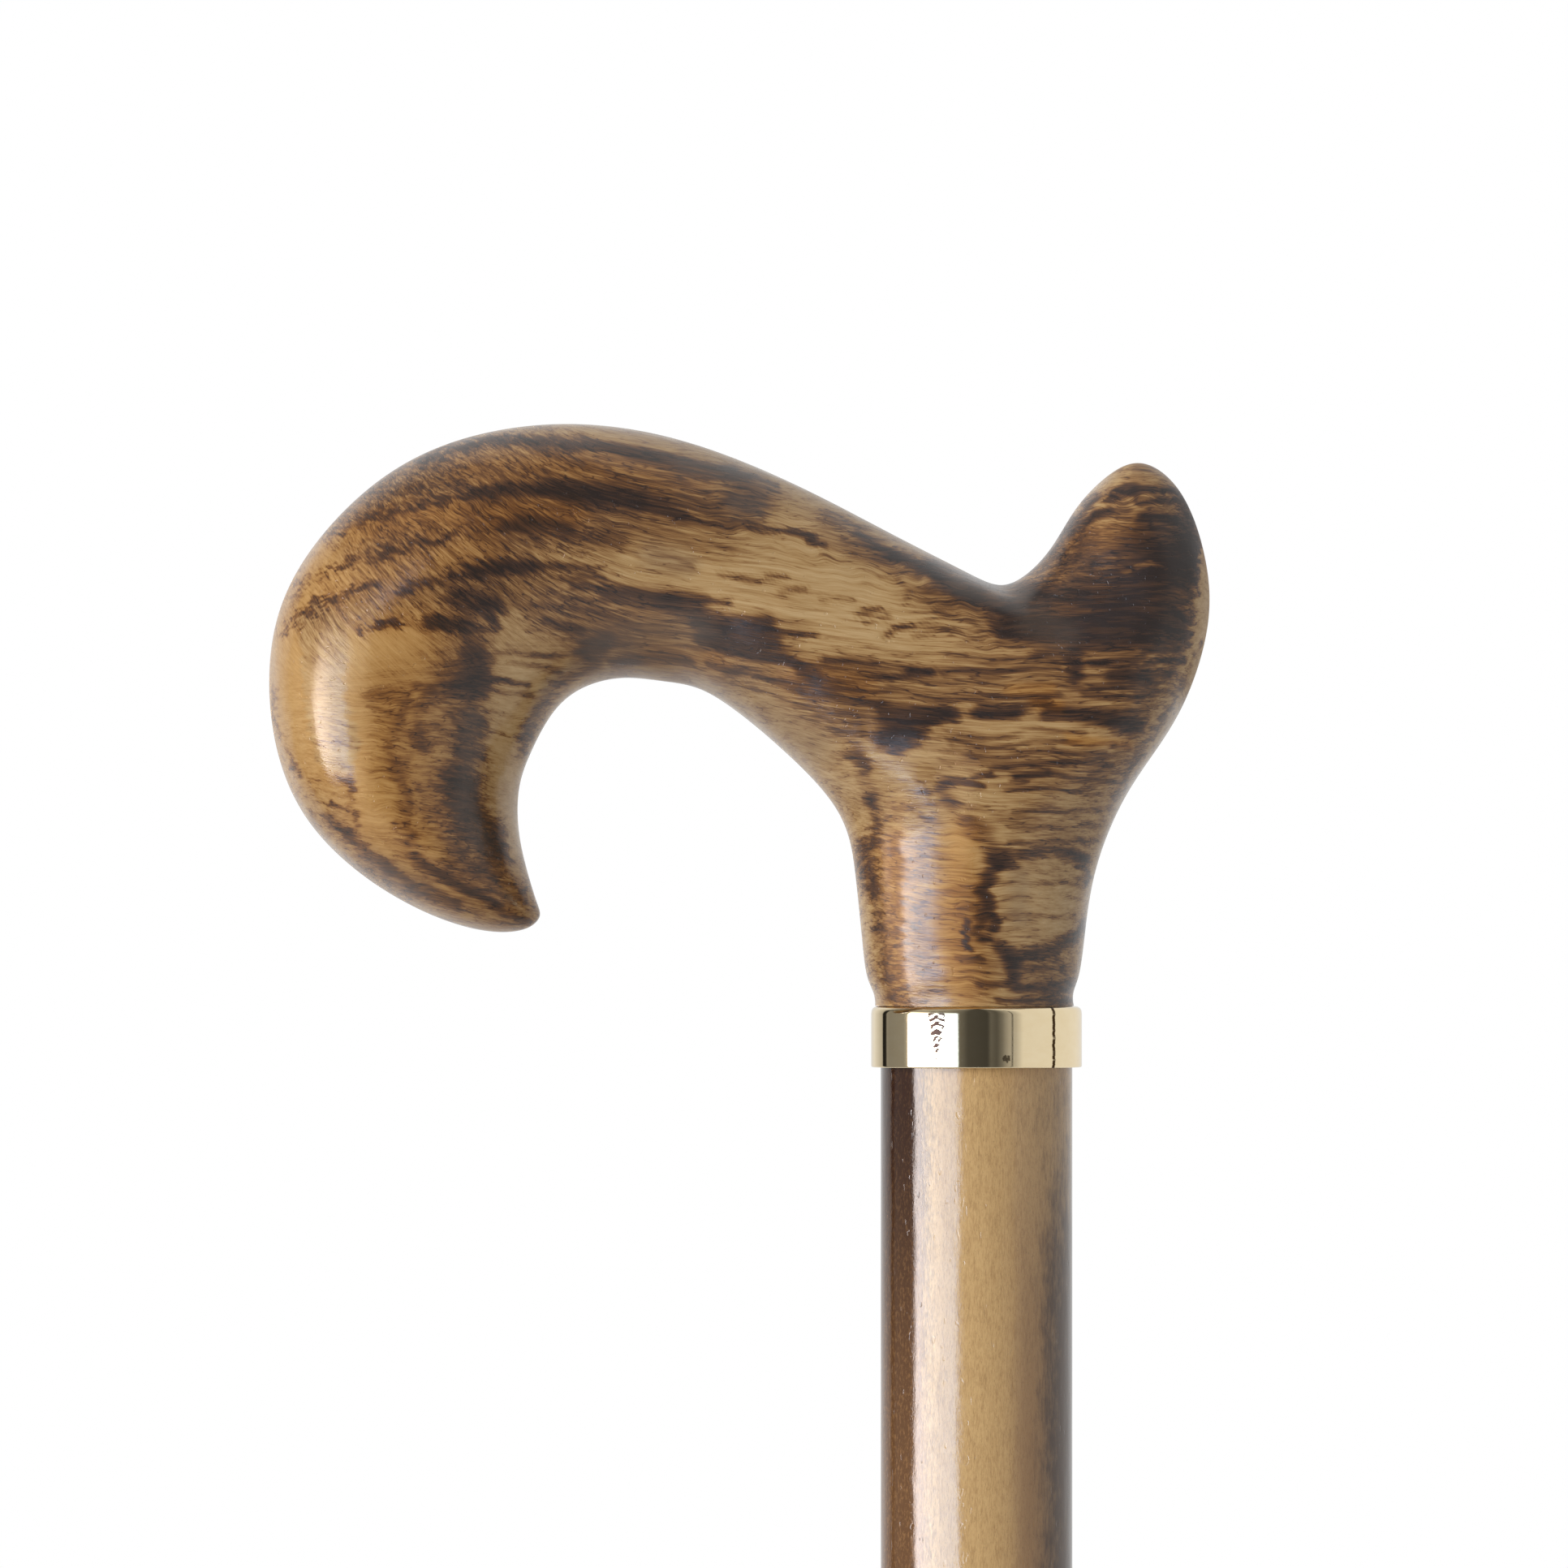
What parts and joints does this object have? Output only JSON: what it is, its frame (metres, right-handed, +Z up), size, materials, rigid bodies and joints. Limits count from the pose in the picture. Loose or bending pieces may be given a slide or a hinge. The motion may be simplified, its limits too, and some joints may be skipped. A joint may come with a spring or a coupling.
{
  "type": "walking stick",
  "caption": "Walking stick with a carved wooden derby handle, a polished brass collar, a tapered round wooden shaft and a ribbed push-on rubber ferrule.",
  "frame": {"origin": "centre of the ferrule's flat sole, where the stick meets the floor", "axes": "+Z up along the shaft, -X towards the handle's nose, +X towards its tail, Y across the handle"},
  "size_m": [0.1079, 0.034, 0.9201],
  "materials": {
    "handle_wood": "glossy varnish over scorched, strongly figured wood",
    "collar_brass": "polished",
    "stud_steel": "zinc plated",
    "shaft_wood": "glossy varnish over shaded, straight-grained wood",
    "ferrule_rubber": "matt",
    "washer_steel": "plain"
  },
  "bodies": {
    "stick": {"handle": "handle_wood", "collar": "collar_brass", "joining_stud": "stud_steel", "shaft": "shaft_wood"},
    "ferrule": {"ferrule": "ferrule_rubber", "ferrule_washer": "washer_steel"}
  },
  "joints": [
    {"name": "ferrule_pull_off", "type": "slide", "parent": "ferrule", "child": "stick", "axis": [0, 0, 1], "range_m": [0, 0.035]}
  ]
}
